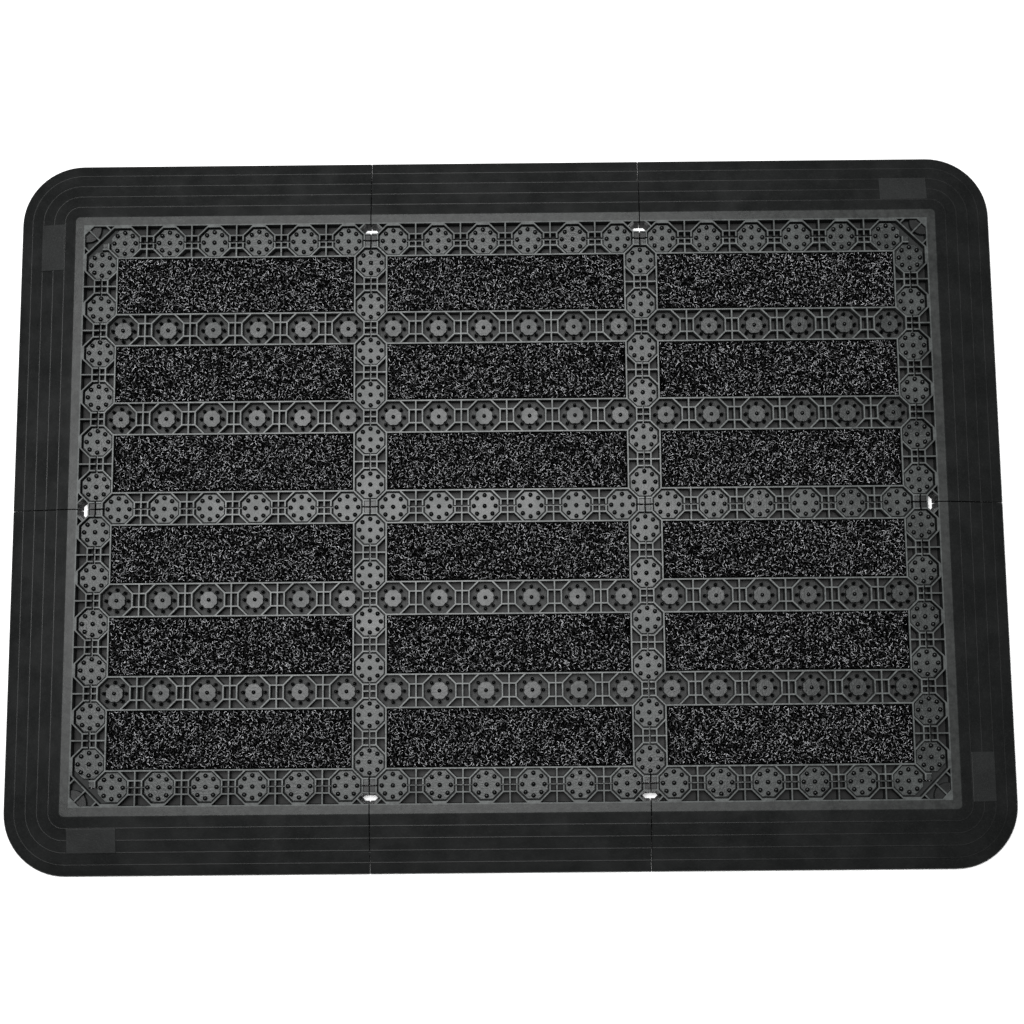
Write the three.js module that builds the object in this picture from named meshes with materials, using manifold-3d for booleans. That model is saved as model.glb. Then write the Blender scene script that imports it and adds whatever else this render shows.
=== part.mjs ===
// A modular entrance mat: six square tiles with carpet inserts, a sloping edge
// ramp all round, and connector strips that bridge every seam.
// Millimetres, +Z up, origin on the floor under the middle of the mat.
// X runs along the mat's long side and Y goes from its front to its back.

import * as THREE from "three";
import { mergeVertices } from "three/addons/utils/BufferGeometryUtils.js";
import Module from "manifold-3d";

const wasm = await Module();
wasm.setup();

// ---- Driving dimensions ----------------------------------------------------

const TILE = 250; // one tile, from seam to seam
const COLUMNS = ["left", "centre", "right"];
const ROWS = ["front", "back"];
const EDGE = 78; // width of the edge ramp, from its seam to its outer edge
const HEIGHT = 14; // top of the tile ribs and of the ramp's flat border
const SEAM = 1.5; // open gap between two mouldings
const GAP = 0.3; // clearance round a piece that lifts out

const CELLS = 6; // octagon cells along each side of a tile
const RIB = 1.5; // thickness of the ribs between cells
// Octagon size across flats, as a share of the cell pitch. At the square root of a half, the
// octagons of two crossing rows share their slanting ribs.
const RING_SHARE = Math.SQRT1_2;

const CELL_FLOOR = 6; // floor of the open cells inside a tile
const POCKET_FLOOR = 5; // floor of the carpet pockets
const CARPET_TOP = 15; // the pile stands just above the ribs
const PAD_BOTTOM = 8;
const PAD_TOP = 11;

const PEG = 5; // square peg under the end pads of a connector strip
const PEG_BOTTOM = 4;
const PEG_OFFSET = 8; // from the seam to the middle of a peg
const PEG_ROOT = 1; // how far a peg runs up into its pad
const WEB_INSET = 0.5; // the webs between pads are this much thinner on each face

const BORDER = 25; // flat border of the ramp, measured from its seam
const BAND = 10.8; // width of one band of the slope
const BANDS = 5; // the last band is cut short by the outer edge
const STEP = 0.6; // small step down at the start of each band
const RIM = 3; // height of the ramp's outer edge
const CORNER_CENTRE = 21; // the corner's arcs are centred this far outside the tiles
const CORNER_STEPS = 8; // facets in a quarter turn of the corner

const LABEL_START = -19; // blank label plate, measured along the ramp from the tile corner
const LABEL_END = 25;
const LABEL_RAISE = 0.4;

const GAP_START = 6.8; // drain gap at a ramp's end, measured from its seam
const GAP_END = 15.5;
const GAP_DEPTH = 6;

// ---- Derived dimensions ----------------------------------------------------

const PITCH = TILE / CELLS;
const RING = PITCH * RING_SHARE; // octagon cells across flats, rib centre to rib centre
const CELL_OPENING = RING - RIB;
const HALF = TILE / 2;
const BODY = TILE - SEAM; // a tile's own outer size
const POCKETS = 3; // carpet pockets in a tile
const ROW_SPACING = TILE / POCKETS; // the cell rows between the pockets follow the seams' spacing
const POCKET_LENGTH = TILE - RING - RIB;
const POCKET_WIDTH = ROW_SPACING - RING - RIB;
const SOCKET_FLOOR = PAD_BOTTOM - GAP;
const SLOPE_DROP = (HEIGHT - RIM - BANDS * STEP) / (EDGE - BORDER); // per millimetre outwards
const CUT_ABOVE = HEIGHT + 5; // cutters end clear above the mouldings

// ---- Materials -------------------------------------------------------------

const frameMaterial = new THREE.MeshStandardMaterial({ color: 0x4c5050, roughness: 0.45, metalness: 0 });
const rampMaterial = new THREE.MeshStandardMaterial({ color: 0x2a2b2b, roughness: 0.65, metalness: 0 });
const connectorMaterial = new THREE.MeshStandardMaterial({ color: 0x626665, roughness: 0.4, metalness: 0 });
const carpetMaterial = new THREE.MeshStandardMaterial({ color: 0x1a1a1c, roughness: 1, metalness: 0 });

// ---- Solids ----------------------------------------------------------------

// A closed three.js geometry as a manifold-3d solid.
function solidFrom(geometry) {
  const bare = geometry.clone();
  bare.deleteAttribute("normal");
  bare.deleteAttribute("uv");
  const merged = mergeVertices(bare, 1e-4);
  return new wasm.Manifold(
    new wasm.Mesh({
      numProp: 3,
      vertProperties: new Float32Array(merged.attributes.position.array),
      triVerts: new Uint32Array(merged.index.array),
    }),
  );
}

// A manifold-3d solid as a three.js geometry.
function geometryFrom(solid) {
  const mesh = solid.getMesh();
  const geometry = new THREE.BufferGeometry();
  geometry.setAttribute("position", new THREE.BufferAttribute(mesh.vertProperties, mesh.numProp));
  geometry.setIndex(new THREE.BufferAttribute(mesh.triVerts, 1));
  return geometry;
}

function joined(solids) {
  return solids.reduce((all, solid) => all.add(solid));
}

// A box between two corners.
function block(low, high) {
  const size = high.map((value, axis) => value - low[axis]);
  const geometry = new THREE.BoxGeometry(...size);
  geometry.translate(...low.map((value, axis) => value + size[axis] / 2));
  return solidFrom(geometry);
}

// An upright box centred on x, y.
function post(x, y, sizeX, sizeY, bottom, top) {
  return block([x - sizeX / 2, y - sizeY / 2, bottom], [x + sizeX / 2, y + sizeY / 2, top]);
}

// An upright octagonal prism, with two of its flats facing along X.
function octagon(x, y, acrossFlats, bottom, top) {
  const radius = acrossFlats / 2 / Math.cos(Math.PI / 8);
  const corners = [];
  for (let i = 0; i < 8; i += 1) {
    const angle = ((i + 0.5) * Math.PI) / 4;
    corners.push(new THREE.Vector2(x + radius * Math.cos(angle), y + radius * Math.sin(angle)));
  }
  const geometry = new THREE.ExtrudeGeometry(new THREE.Shape(corners), {
    depth: top - bottom,
    bevelEnabled: false,
  });
  geometry.translate(0, 0, bottom);
  return solidFrom(geometry);
}

// The middles of the octagon cells along one tile side, measured from its middle.
function cellPlaces() {
  return Array.from({ length: CELLS }, (_, i) => (i + 0.5) * PITCH - HALF);
}

// The room for one connector strip on a seam along X at height y, for a tile centred on x.
function socketCutters(x, y) {
  const places = cellPlaces();
  const cutters = places.map((along) => octagon(x + along, y, CELL_OPENING, SOCKET_FLOOR, CUT_ABOVE));
  for (const along of [places[0], places[CELLS - 1]]) {
    for (const side of [-1, 1]) {
      const hole = PEG + 2 * GAP;
      cutters.push(post(x + along, y + side * PEG_OFFSET, hole, hole, PEG_BOTTOM - GAP, CUT_ABOVE));
    }
  }
  return joined(cutters);
}

// ---- Tile frame ------------------------------------------------------------

// The octagon cells and the square cells between them, in one row inside a tile.
function cellRowCutters(y) {
  const places = cellPlaces();
  const cutters = places.map((x) => octagon(x, y, CELL_OPENING, CELL_FLOOR, CUT_ABOVE));
  const sizeX = PITCH - RING - RIB;
  const sizeY = RING * Math.tan(Math.PI / 8) - RIB;
  for (let i = 1; i < CELLS; i += 1) {
    cutters.push(post(places[i] - PITCH / 2, y, sizeX, sizeY, CELL_FLOOR, CUT_ABOVE));
  }
  return joined(cutters);
}

function tileFrameGeometry() {
  const cutters = [];
  for (let i = 0; i < POCKETS; i += 1) {
    const y = (i - (POCKETS - 1) / 2) * ROW_SPACING;
    cutters.push(post(0, y, POCKET_LENGTH, POCKET_WIDTH, POCKET_FLOOR, CUT_ABOVE));
  }
  for (const side of [-1, 1]) {
    cutters.push(cellRowCutters((side * ROW_SPACING) / 2));
    cutters.push(socketCutters(0, side * HALF));
    cutters.push(socketCutters(0, side * HALF).rotate([0, 0, 90]));
  }
  return geometryFrom(post(0, 0, BODY, BODY, 0, HEIGHT).subtract(joined(cutters)));
}

// ---- Carpet insert ---------------------------------------------------------

function carpetInsertGeometry() {
  const length = POCKET_LENGTH - 2 * GAP;
  const width = POCKET_WIDTH - 2 * GAP;
  return geometryFrom(post(0, 0, length, width, POCKET_FLOOR + GAP, CARPET_TOP));
}

// ---- Edge ramps ------------------------------------------------------------

// The ramp's section as [distance outwards, height] points, with its steps.
function rampSection(start) {
  const points = [
    [start, 0],
    [EDGE, 0],
  ];
  const slope = [];
  let height = HEIGHT;
  for (let band = 0; band < BANDS; band += 1) {
    const from = BORDER + band * BAND;
    const to = Math.min(from + BAND, EDGE);
    slope.push([from, height]);
    height -= STEP;
    slope.push([from, height]);
    height -= SLOPE_DROP * (to - from);
    if (to === EDGE) slope.push([to, height]);
  }
  return [...points, ...slope.reverse(), [start, HEIGHT]];
}

// A section of [distance outwards, height] points, run along X, with outwards as -Y.
function runAlongX(section, from, to) {
  const shape = new THREE.Shape(section.map(([out, height]) => new THREE.Vector2(out, height)));
  const geometry = new THREE.ExtrudeGeometry(shape, { depth: to - from, bevelEnabled: false });
  const outwards = new THREE.Vector3(0, -1, 0);
  const up = new THREE.Vector3(0, 0, 1);
  const along = new THREE.Vector3(-1, 0, 0);
  geometry.applyMatrix4(new THREE.Matrix4().makeBasis(outwards, up, along).setPosition(to, 0, 0));
  return solidFrom(geometry);
}

// The drain gap at a ramp's end, at x and on the ramp's side of it.
function drainGap(x, inwards) {
  const deep = x + inwards * GAP_DEPTH;
  const past = x - inwards * GAP_DEPTH;
  return block([Math.min(deep, past), -GAP_END, -1], [Math.max(deep, past), -GAP_START, CUT_ABOVE]);
}

// The straight ramp beside one tile: its seam is on Y = 0, and it runs out along -Y.
function straightRampGeometry() {
  const end = HALF - GAP;
  const body = runAlongX(rampSection(SEAM / 2), -end, end);
  const cutters = [socketCutters(0, 0), drainGap(-end, 1), drainGap(end, -1)];
  return geometryFrom(body.subtract(joined(cutters)));
}

// The quarter turn of the ramp outside a tile corner at the origin.
function cornerTurn() {
  const outline = rampSection(CORNER_CENTRE).map(([out, height]) => {
    return new THREE.Vector2(out - CORNER_CENTRE, height);
  });
  outline.push(outline[0]);
  const lathe = new THREE.LatheGeometry(outline, 4 * CORNER_STEPS);
  lathe.rotateX(Math.PI / 2);
  lathe.translate(-CORNER_CENTRE, -CORNER_CENTRE, 0);
  const quarter = block([-EDGE - 1, -EDGE - 1, -1], [-CORNER_CENTRE, -CORNER_CENTRE, CUT_ABOVE]);
  return solidFrom(lathe).intersect(quarter);
}

// The blank plate for a label, set on the second and third bands of the slope.
function labelPlate() {
  const out = BORDER + BAND;
  const heightAt = (distance) => HEIGHT - 2 * STEP - SLOPE_DROP * (distance - BORDER) + LABEL_RAISE;
  const section = [
    [out, 1],
    [out + 2 * BAND, 1],
    [out + 2 * BAND, heightAt(out + 2 * BAND)],
    [out, heightAt(out)],
  ];
  return runAlongX(section, LABEL_START, LABEL_END);
}

// The corner ramp: the tile corner is at the origin, and the arms run along +X and +Y.
function cornerRampGeometry() {
  const end = TILE - GAP;
  const arm = runAlongX(rampSection(SEAM / 2), -CORNER_CENTRE, end);
  const otherArm = arm.mirror([1, -1, 0]);
  const sockets = socketCutters(HALF, 0);
  const well = (SEAM + RIB) / 2;
  const cutters = [
    sockets,
    sockets.mirror([1, -1, 0]),
    drainGap(end, -1),
    drainGap(end, -1).mirror([1, -1, 0]),
    block([-GAP_END, -GAP_END, CELL_FLOOR], [-well, -well, CUT_ABOVE]),
  ];
  const body = joined([arm, otherArm, cornerTurn(), labelPlate()]);
  return geometryFrom(body.subtract(joined(cutters)));
}

// ---- Connector strip -------------------------------------------------------

// Six octagonal pads along X, joined by thin webs that lie in the seam's gap.
function connectorStripGeometry() {
  const places = cellPlaces();
  const pads = places.map((x) => octagon(x, 0, CELL_OPENING - 2 * GAP, PAD_BOTTOM, PAD_TOP));
  const webLength = places[CELLS - 1] - places[0];
  const webWidth = SEAM - 2 * GAP;
  const web = post(0, 0, webLength, webWidth, PAD_BOTTOM + WEB_INSET, PAD_TOP - WEB_INSET);
  const pegs = [];
  for (const x of [places[0], places[CELLS - 1]]) {
    for (const side of [-1, 1]) {
      pegs.push(post(x, side * PEG_OFFSET, PEG, PEG, PEG_BOTTOM, PAD_BOTTOM + PEG_ROOT));
    }
  }
  return geometryFrom(joined([...pads, web, ...pegs]));
}

// ---- The mat ---------------------------------------------------------------

function addPiece(group, name, geometry, material, x, y, quarterTurns = 0) {
  const mesh = new THREE.Mesh(geometry, material);
  mesh.name = name;
  mesh.position.set(x, y, 0);
  mesh.rotation.z = (quarterTurns * Math.PI) / 2;
  group.add(mesh);
}

const columnX = COLUMNS.map((_, i) => (i - (COLUMNS.length - 1) / 2) * TILE);
const rowY = ROWS.map((_, j) => (j - (ROWS.length - 1) / 2) * TILE);
const fieldX = (COLUMNS.length * TILE) / 2;
const fieldY = (ROWS.length * TILE) / 2;

// The six tiles, each a group of its frame and its three carpet inserts.
function tiles() {
  const all = new THREE.Group();
  const frame = tileFrameGeometry();
  const carpet = carpetInsertGeometry();
  ROWS.forEach((row, j) => {
    COLUMNS.forEach((column, i) => {
      const tile = new THREE.Group();
      tile.position.set(columnX[i], rowY[j], 0);
      addPiece(tile, `tile_frame_${row}_${column}`, frame, frameMaterial, 0, 0);
      ["front", "middle", "back"].forEach((place, k) => {
        const y = (k - (POCKETS - 1) / 2) * ROW_SPACING;
        addPiece(tile, `carpet_insert_${row}_${column}_${place}`, carpet, carpetMaterial, 0, y);
      });
      all.add(tile);
    });
  });
  return all;
}

// The four corner ramps are one moulding, turned a quarter turn each time.
function edgeRamps() {
  const all = new THREE.Group();
  const corner = cornerRampGeometry();
  const straight = straightRampGeometry();
  addPiece(all, "corner_ramp_front_left", corner, rampMaterial, -fieldX, -fieldY, 0);
  addPiece(all, "corner_ramp_front_right", corner, rampMaterial, fieldX, -fieldY, 1);
  addPiece(all, "corner_ramp_back_right", corner, rampMaterial, fieldX, fieldY, 2);
  addPiece(all, "corner_ramp_back_left", corner, rampMaterial, -fieldX, fieldY, 3);
  addPiece(all, "straight_ramp_front", straight, rampMaterial, 0, -fieldY, 0);
  addPiece(all, "straight_ramp_back", straight, rampMaterial, 0, fieldY, 2);
  return all;
}

// One connector strip on each side of every tile.
function connectorStrips() {
  const all = new THREE.Group();
  const strip = connectorStripGeometry();
  ["front", "middle", "back"].forEach((seam, j) => {
    COLUMNS.forEach((column, i) => {
      const name = `connector_strip_${seam}_seam_${column}`;
      addPiece(all, name, strip, connectorMaterial, columnX[i], j * TILE - fieldY);
    });
  });
  ["left", "inner_left", "inner_right", "right"].forEach((seam, i) => {
    ROWS.forEach((row, j) => {
      const name = `connector_strip_${seam}_seam_${row}`;
      addPiece(all, name, strip, connectorMaterial, i * TILE - fieldX, rowY[j], 1);
    });
  });
  return all;
}

const mat = new THREE.Group();
mat.add(tiles(), edgeRamps(), connectorStrips());

export default mat;
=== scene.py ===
"""Looks of a modular entrance mat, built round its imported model.

Six moulded rubber tiles with curly carpet inserts, a sloping edge ramp in six mouldings, and a
strip of studded connector pads on every seam. Sizes in the classes are millimetres, except where a
class says metres, and every finished mesh is in metres in the model's own frame.
"""

import logging
import math
import random
from dataclasses import dataclass, field
from enum import Enum

import bmesh
import bpy
import numpy as np
from bmesh.types import BMEdge, BMesh, BMFace, BMVert
from bpy.types import Camera, Light, Material, Mesh, NodeSocket, NodeTree, Object
from mathutils import Euler, Matrix, Vector

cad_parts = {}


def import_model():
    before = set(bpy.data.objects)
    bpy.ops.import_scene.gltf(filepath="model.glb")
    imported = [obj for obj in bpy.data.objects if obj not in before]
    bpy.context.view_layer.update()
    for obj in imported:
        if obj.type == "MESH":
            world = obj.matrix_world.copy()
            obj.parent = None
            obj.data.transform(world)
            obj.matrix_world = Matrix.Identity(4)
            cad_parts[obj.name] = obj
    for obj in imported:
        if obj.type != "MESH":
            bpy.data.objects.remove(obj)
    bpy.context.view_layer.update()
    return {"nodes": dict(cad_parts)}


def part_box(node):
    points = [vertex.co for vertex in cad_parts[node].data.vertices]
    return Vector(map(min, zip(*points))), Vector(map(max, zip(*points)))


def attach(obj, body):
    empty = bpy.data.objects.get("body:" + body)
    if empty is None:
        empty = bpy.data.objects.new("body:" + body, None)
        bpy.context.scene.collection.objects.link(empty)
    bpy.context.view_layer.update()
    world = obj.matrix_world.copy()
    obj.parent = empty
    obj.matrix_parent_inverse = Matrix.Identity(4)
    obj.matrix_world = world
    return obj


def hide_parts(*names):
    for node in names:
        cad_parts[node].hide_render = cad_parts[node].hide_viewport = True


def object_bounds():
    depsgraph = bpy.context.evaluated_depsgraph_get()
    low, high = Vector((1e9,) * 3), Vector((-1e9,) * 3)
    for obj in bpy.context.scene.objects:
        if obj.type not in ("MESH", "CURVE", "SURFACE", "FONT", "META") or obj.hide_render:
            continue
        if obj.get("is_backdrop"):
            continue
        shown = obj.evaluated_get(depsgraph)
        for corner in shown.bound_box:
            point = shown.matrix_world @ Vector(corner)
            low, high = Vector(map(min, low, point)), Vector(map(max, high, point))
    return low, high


LOG = logging.getLogger("entrance_mat")
MM = 0.001
WELD = 0.02  # millimetres between points that are one point
PLANE = 0.0001  # millimetres from a cutting plane to a point that lies on it
SUNK = 0.3  # millimetres that a part stands into the floor under it
ROUND_SIDES = 32
SEED = 20311


# ---- Shared pattern --------------------------------------------------------


@dataclass(frozen=True)
class Pattern:
    """The cell pattern that tiles, ramps and connectors share, in millimetres."""

    tile: float = 250.0
    cells: int = 6
    pockets: int = 3
    seam: float = 1.5
    rib: float = 1.5
    arris: float = 0.2
    draft: float = 0.25
    top: float = 14.0
    boss_top: float = 12.6
    socket_floor: float = 7.7
    cell_floor: float = 6.0
    box_floor: float = 4.2
    pocket_floor: float = 5.0
    drain_draft: float = 2.3
    foot: float = 0.8
    foot_gap: float = 0.1

    @property
    def pitch(self) -> float:
        """Distance from one octagon to the next in a row."""
        return self.tile / self.cells

    @property
    def apothem(self) -> float:
        """Half an octagon's size across flats, to the middle of its ribs."""
        return self.pitch * math.sqrt(0.5) / 2

    @property
    def half_side(self) -> float:
        """Half the length of an octagon's side."""
        return self.apothem * math.tan(math.pi / 8)

    @property
    def corner_radius(self) -> float:
        """An octagon's radius to its corners, on the middle of its ribs."""
        return self.apothem / math.cos(math.pi / 8)

    @property
    def row(self) -> float:
        """Distance between the cell rows on either side of a carpet pocket."""
        return self.tile / self.pockets

    def places(self) -> list[float]:
        """The octagons' places along one side of a tile, from its middle."""
        return [(i + 0.5) * self.pitch - self.tile / 2 for i in range(self.cells)]


PATTERN = Pattern()


# ---- Colour and node helpers -----------------------------------------------


def linear(hex_colour: str) -> tuple[float, float, float, float]:
    """Turns an sRGB hex colour into linear values.

    Args:
        hex_colour: Six hex digits.

    Returns:
        Red, green, blue and an alpha of one.
    """
    channels = [int(hex_colour[i : i + 2], 16) / 255 for i in (0, 2, 4)]
    toned = [c / 12.92 if c <= 0.04045 else ((c + 0.055) / 1.055) ** 2.4 for c in channels]
    return (toned[0], toned[1], toned[2], 1.0)


def add_node(tree: NodeTree, kind: str, inputs: dict | None = None, output: str | int = 0,
             **settings) -> NodeSocket | None:
    """Adds a node with its settings, values and links.

    Args:
        tree: The node tree.
        kind: The node's type name, without the "ShaderNode" it starts with.
        inputs: Values or sockets, by the name or number of the input.
        output: Name or number of the output that is wanted.
        **settings: Properties of the node itself.

    Returns:
        The wanted output, if the node has any.
    """
    node = tree.nodes.new(f"ShaderNode{kind}")
    for name, value in settings.items():
        setattr(node, name, value)
    for name, value in (inputs or {}).items():
        if isinstance(value, NodeSocket):
            tree.links.new(value, node.inputs[name])
        else:
            node.inputs[name].default_value = value
    return node.outputs[output] if node.outputs else None


# ---- Finishes --------------------------------------------------------------


@dataclass(frozen=True)
class Surface:
    """What every finish shares: its name, and a build from the inputs of its shader."""

    name: str

    def inputs(self, tree: NodeTree, place: NodeSocket) -> dict:
        """Draws the surface's pattern.

        Args:
            tree: The material's node tree.
            place: Object coordinates.

        Returns:
            Values and sockets for the shader, by the name of its input.
        """
        raise NotImplementedError

    def build(self) -> Material:
        """Builds the material.

        Returns:
            The finished material.
        """
        material = bpy.data.materials.new(self.name)
        material.use_nodes = True
        tree = material.node_tree
        tree.nodes.clear()
        place = add_node(tree, "TexCoord", output="Object")
        shader = add_node(tree, "BsdfPrincipled", self.inputs(tree, place))
        add_node(tree, "OutputMaterial", {"Surface": shader})
        return material


@dataclass(frozen=True)
class MouldedRubber(Surface):
    """Recycled rubber compound, compression moulded: dark, a little oily, paler where it is scuffed.

    Heights and the field's half sizes are in metres. Above scuff_to a top is worn and dusty, below
    recess_from it keeps its dull skin and a painted shade, and below crevice_from it is painted
    nearly black as shade.
    """

    body: str
    scuffed: str
    dust: str
    roughness: float
    specular: float
    scuff_from: float = 0.0136
    scuff_to: float = 0.0140
    scuff_share: float = 0.7
    scuff_least: float = 0.35
    # Painted shade: the colour that the recesses take below recess_from.
    recess_shade: str = "0B0C0C"
    recess_from: float = 0.0080
    recess_to: float = 0.0100
    recess_roughness: float = 0.55
    film: str = "7C807E"
    film_share: float = 0.3
    grain_height: float = 0.00006
    dent_height: float = 0.00014
    # Painted shade: the nearly black colour below crevice_from.
    crevice_shade: str = "020202"
    crevice_from: float = 0.0035
    crevice_to: float = 0.0066
    field_half: tuple[float, float] = (9.0, 9.0)
    field_dust: str = ""
    field_blur: float = 0.0001

    def outside_field(self, tree: NodeTree, place: NodeSocket) -> NodeSocket:
        """Marks what lies outside the mat's ribbed field.

        Args:
            tree: The material's node tree.
            place: Object coordinates.

        Returns:
            One outside the field and nought inside it.
        """
        past = []
        for axis, half in zip("XY", self.field_half):
            along = add_node(tree, "SeparateXYZ", {"Vector": place}, axis)
            size = add_node(tree, "Math", {0: along}, operation="ABSOLUTE")
            past.append(add_node(tree, "Math", {0: size, 1: half}, operation="SUBTRACT"))
        far = add_node(tree, "Math", {0: past[0], 1: past[1]}, operation="MAXIMUM")
        return add_node(tree, "MapRange", {0: far, 1: -self.field_blur, 2: self.field_blur},
                        interpolation_type="SMOOTHSTEP")

    def inputs(self, tree: NodeTree, place: NodeSocket) -> dict:
        """Draws the surface's pattern.

        Args:
            tree: The material's node tree.
            place: Object coordinates.

        Returns:
            Values and sockets for the shader, by the name of its input.
        """
        height = add_node(tree, "SeparateXYZ", {"Vector": place}, "Z")
        # Cloudy bloom about 30 mm across, scuffs and lint of a few millimetres, moulding grain that is
        # about 0.2 mm and drawn at 1 mm so that it shows, and dents and flow marks about 2 mm across.
        bloom, scuffs, grain, dents = (
            add_node(tree, "TexNoise", {"Vector": place, "Scale": scale, "Detail": detail,
                                        "Roughness": rough})
            for scale, detail, rough in
            ((32.0, 5.0, 0.6), (190.0, 6.0, 0.75), (1000.0, 3.0, 0.7), (520.0, 2.0, 0.5)))
        worn_top, worn_share, cloud, speckle, broken, shallow, open_part, polished = (
            add_node(tree, "MapRange", dict(enumerate(values)), interpolation_type="SMOOTHSTEP")
            for values in ((height, self.scuff_from, self.scuff_to),
                           (scuffs, 0.3, 0.7, self.scuff_share * self.scuff_least, self.scuff_share),
                           (bloom, 0.3, 0.75, 0.0, 0.5),
                           (grain, 0.42, 0.72, 0.0, self.film_share),
                           (scuffs, 0.35, 0.65, 0.3, 1.0),
                           (height, self.recess_from, self.recess_to),
                           (height, self.crevice_from, self.crevice_to),
                           (bloom, 0.25, 0.8, self.roughness - 0.07, self.roughness + 0.1)))
        outside = self.outside_field(tree, place)
        worn, filmed = (add_node(tree, "Math", {0: first, 1: second}, operation="MULTIPLY")
                        for first, second in ((worn_top, worn_share), (speckle, broken)))
        # Recesses keep their dull moulded skin and hold dust; feet only polish what they reach. Below
        # recess_from the colour is a painted shade, nearly black below crevice_from, except outside the
        # field.
        reached_and_unshaded, lit = (add_node(tree, "Math", {0: level, 1: outside}, operation="MAXIMUM")
                        for level in (shallow, open_part))
        recess_film = add_node(tree, "Math", {0: filmed, 1: lit}, operation="MULTIPLY")
        film = linear(self.film)
        blended = {"output": "Result", "data_type": "RGBA"}
        # The crevice and recess colours mixed here are painted shade.
        body, dust, recess_shade = (
            add_node(tree, "Mix", {"Factor": share, "A": linear(first), "B": linear(second)}, **blended)
            for share, first, second in ((cloud, self.body, self.scuffed),
                                         (outside, self.field_dust or self.dust, self.dust),
                                         (lit, self.crevice_shade, self.recess_shade)))
        topped = add_node(tree, "Mix", {"Factor": worn, "A": body, "B": dust}, **blended)
        # A thin broken film of pale dust that sits in the grain.
        filmy, dusty_shaded_recess = (add_node(tree, "Mix", {"Factor": share, "A": under, "B": film}, **blended)
                               for share, under in ((filmed, topped), (recess_film, recess_shade)))
        depth = add_node(tree, "Mix", {"Factor": reached_and_unshaded, "A": dusty_shaded_recess, "B": filmy}, **blended)
        gloss = add_node(tree, "Mix", {"Factor": reached_and_unshaded, "A": self.recess_roughness, "B": polished},
                         "Result")
        bump = add_node(tree, "Bump", {"Strength": 0.45, "Distance": self.grain_height, "Height": grain})
        # The dents break up the light on every level top.
        dented = add_node(tree, "Bump", {"Strength": 0.8, "Distance": self.dent_height, "Height": dents,
                                         "Normal": bump})
        return {"Base Color": depth, "Roughness": gloss, "IOR": 1.52, "Specular IOR Level": self.specular,
                "Normal": dented}


@dataclass(frozen=True)
class CurlPile(Surface):
    """Solution-dyed nylon curl pile: black fibre flecked with grey, which reads as salt and pepper."""

    name: str = "nylon_curl_pile"
    dark: str = "030303"
    pale: str = "DCDDE0"

    def inputs(self, tree: NodeTree, place: NodeSocket) -> dict:
        """Draws the surface's pattern.

        Args:
            tree: The material's node tree.
            place: Object coordinates.

        Returns:
            Values and sockets for the shader, by the name of its input.
        """
        shade = add_node(tree, "Attribute", output="Fac", attribute_name="shade",
                         attribute_type="GEOMETRY")
        # Streaks of dye about 1.5 mm long.
        streak = add_node(tree, "TexNoise", {"Vector": place, "Scale": 700.0, "Detail": 2.0})
        eased = add_node(tree, "MapRange", {0: streak, 1: 0.25, 2: 0.75, 3: 0.55, 4: 1.25},
                         interpolation_type="SMOOTHSTEP")
        varied = add_node(tree, "Math", {0: shade, 1: eased}, operation="MULTIPLY", use_clamp=True)
        colour = add_node(tree, "Mix", {"Factor": varied, "A": linear(self.dark), "B": linear(self.pale)},
                          "Result", data_type="RGBA")
        return {"Base Color": colour, "Roughness": 0.7, "IOR": 1.53, "Specular IOR Level": 0.0}


@dataclass(frozen=True)
class CarpetBacking(Surface):
    """Latex-coated woven backing of the carpet: dull black with the weave showing through."""

    name: str = "latex_carpet_backing"
    coat: str = "17181A"
    thread: str = "2B2C2E"

    def inputs(self, tree: NodeTree, place: NodeSocket) -> dict:
        """Draws the surface's pattern.

        Args:
            tree: The material's node tree.
            place: Object coordinates.

        Returns:
            Values and sockets for the shader, by the name of its input.
        """
        # Threads 2 mm apart.
        weave = [add_node(tree, "TexWave", {"Vector": place, "Scale": 160.0, "Distortion": 0.6}, "Fac",
                          bands_direction=axis) for axis in ("X", "Y")]
        crossed = add_node(tree, "Math", {0: weave[0], 1: weave[1]}, operation="MULTIPLY")
        colour = add_node(tree, "Mix", {"Factor": crossed, "A": linear(self.coat), "B": linear(self.thread)},
                          "Result", data_type="RGBA")
        bump = add_node(tree, "Bump", {"Strength": 0.6, "Distance": 0.0003, "Height": crossed})
        return {"Base Color": colour, "Roughness": 0.8, "Normal": bump}


@dataclass(frozen=True)
class PaperFloor(Surface):
    """Matt white background paper with a faint unevenness."""

    name: str = "white_studio_paper"
    white: str = "F9F9F9"
    shade: str = "F6F6F6"

    def inputs(self, tree: NodeTree, place: NodeSocket) -> dict:
        """Draws the surface's pattern.

        Args:
            tree: The material's node tree.
            place: Object coordinates.

        Returns:
            Values and sockets for the shader, by the name of its input.
        """
        cloud = add_node(tree, "TexNoise", {"Vector": place, "Scale": 1.5, "Detail": 2.0})
        colour = add_node(tree, "Mix", {"Factor": cloud, "A": linear(self.white), "B": linear(self.shade)},
                          "Result", data_type="RGBA")
        return {"Base Color": colour, "Roughness": 0.9}


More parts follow.
